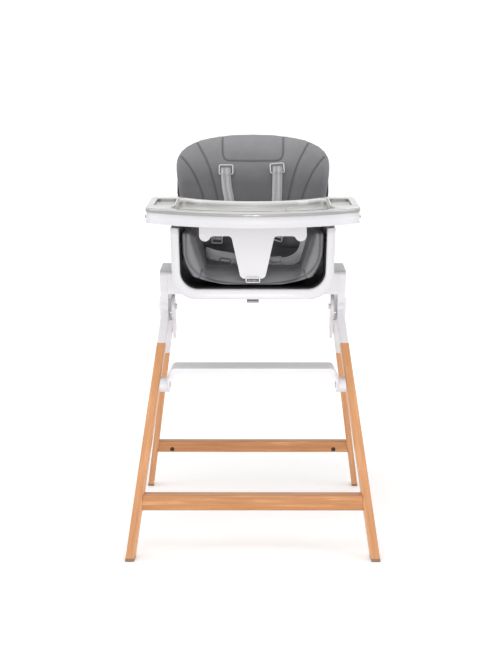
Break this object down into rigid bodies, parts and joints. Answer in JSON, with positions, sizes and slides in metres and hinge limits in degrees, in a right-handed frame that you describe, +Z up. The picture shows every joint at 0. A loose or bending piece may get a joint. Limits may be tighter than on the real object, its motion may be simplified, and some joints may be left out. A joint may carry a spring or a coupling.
{
  "type": "baby high chair",
  "caption": "Baby high chair with splayed wooden folding legs, a lift-off padded reclining seat with harness, a swing-up footrest, and a sliding tray with a crotch post and lift-off cover.",
  "frame": {"origin": "on the floor, at the middle of the four feet", "axes": "+Z up, the child faces -Y, +X is on the right as seen from in front"},
  "size_m": [0.5996, 0.59, 0.9586],
  "materials": {
    "beech": "clear satin lacquer",
    "foot_rubber": "matt",
    "steel": "satin",
    "dark_screw": "satin black",
    "pad_leather": "soft grained synthetic leather",
    "back_fabric": "woven, matt",
    "black_plastic": "fine texture",
    "webbing": "ribbed webbing with a slight sheen",
    "cover_plastic": "polished",
    "grey_plastic": "satin",
    "tray_plastic": "satin",
    "white_plastic": "satin"
  },
  "bodies": {
    "front_frame": {"front_leg_left": "beech", "front_leg_right": "beech", "front_foot_left": "foot_rubber", "front_foot_right": "foot_rubber", "front_stretcher": "beech", "front_shell_left": "white_plastic", "front_shell_right": "white_plastic", "pivot_cover_left": "white_plastic", "pivot_cover_right": "white_plastic", "pivot_bolts": "steel", "carrier_bracket_left": "white_plastic", "carrier_bracket_right": "white_plastic", "carrier_platform": "white_plastic", "footrest_boss_left": "white_plastic", "footrest_boss_right": "white_plastic", "footrest_pins": "steel", "lever_pin": "steel"},
    "rear_frame": {"rear_leg_left": "beech", "rear_leg_right": "beech", "rear_foot_left": "foot_rubber", "rear_foot_right": "foot_rubber", "rear_socket_left": "white_plastic", "rear_socket_right": "white_plastic", "rear_stretcher": "beech", "stretcher_bolts": "dark_screw"},
    "footrest": {"footrest": "white_plastic"},
    "release_lever": {"release_lever": "grey_plastic"},
    "seat": {"seat_hoop": "white_plastic", "armrest_left": "white_plastic", "armrest_right": "white_plastic", "seat_shell": "black_plastic", "seat_pad": "pad_leather", "recline_pins": "steel", "crotch_strap": "webbing", "crotch_ring": "white_plastic", "harness_buckle": "grey_plastic", "lap_strap_left": "webbing", "lap_strap_right": "webbing", "lap_slider_left": "white_plastic", "lap_slider_right": "white_plastic"},
    "backrest": {"back_shell": "black_plastic", "back_pad": "pad_leather", "back_cover": "back_fabric", "shoulder_strap_left": "webbing", "shoulder_strap_right": "webbing", "shoulder_ring_left": "white_plastic", "shoulder_ring_right": "white_plastic"},
    "tray": {"tray_base": "tray_plastic", "crotch_post": "white_plastic"},
    "tray_button_left": {"tray_button_left": "grey_plastic"},
    "tray_button_right": {"tray_button_right": "grey_plastic"},
    "tray_cover": {"tray_cover": "cover_plastic"}
  },
  "joints": [
    {"name": "leg_fold", "type": "hinge", "parent": "front_frame", "child": "rear_frame", "pos_m": [0, 0, 0.553], "axis": [-1, 0, 0], "range_deg": [0, 50]},
    {"name": "footrest_swing", "type": "hinge", "parent": "front_frame", "child": "footrest", "pos_m": [0, -0.10165, 0.37971], "axis": [-1, 0, 0], "range_deg": [0, 65]},
    {"name": "lever_pull", "type": "hinge", "parent": "front_frame", "child": "release_lever", "pos_m": [0, -0.034, 0.612], "axis": [-1, 0, 0], "range_deg": [0, 12], "stiffness_Nm_per_rad": 0.5, "springref_deg": -5.73},
    {"name": "seat_lift", "type": "slide", "parent": "front_frame", "child": "seat", "axis": [0, 0, 1], "range_m": [0, 0.15]},
    {"name": "back_recline", "type": "hinge", "parent": "seat", "child": "backrest", "pos_m": [0, 0.09, 0.672], "axis": [-1, 0, 0], "range_deg": [0, 20]},
    {"name": "tray_slide", "type": "slide", "parent": "seat", "child": "tray", "axis": [0, -1, 0], "range_m": [0, 0.3]},
    {"name": "tray_button_left_press", "type": "slide", "parent": "tray", "child": "tray_button_left", "axis": [1, 0, 0], "range_m": [0, 0.003], "stiffness_N_per_m": 400, "springref_m": -0.002},
    {"name": "tray_button_right_press", "type": "slide", "parent": "tray", "child": "tray_button_right", "axis": [-1, 0, 0], "range_m": [0, 0.003], "stiffness_N_per_m": 400, "springref_m": -0.002},
    {"name": "cover_lift", "type": "slide", "parent": "tray", "child": "tray_cover", "axis": [0, 0, 1], "range_m": [0, 0.1]}
  ]
}
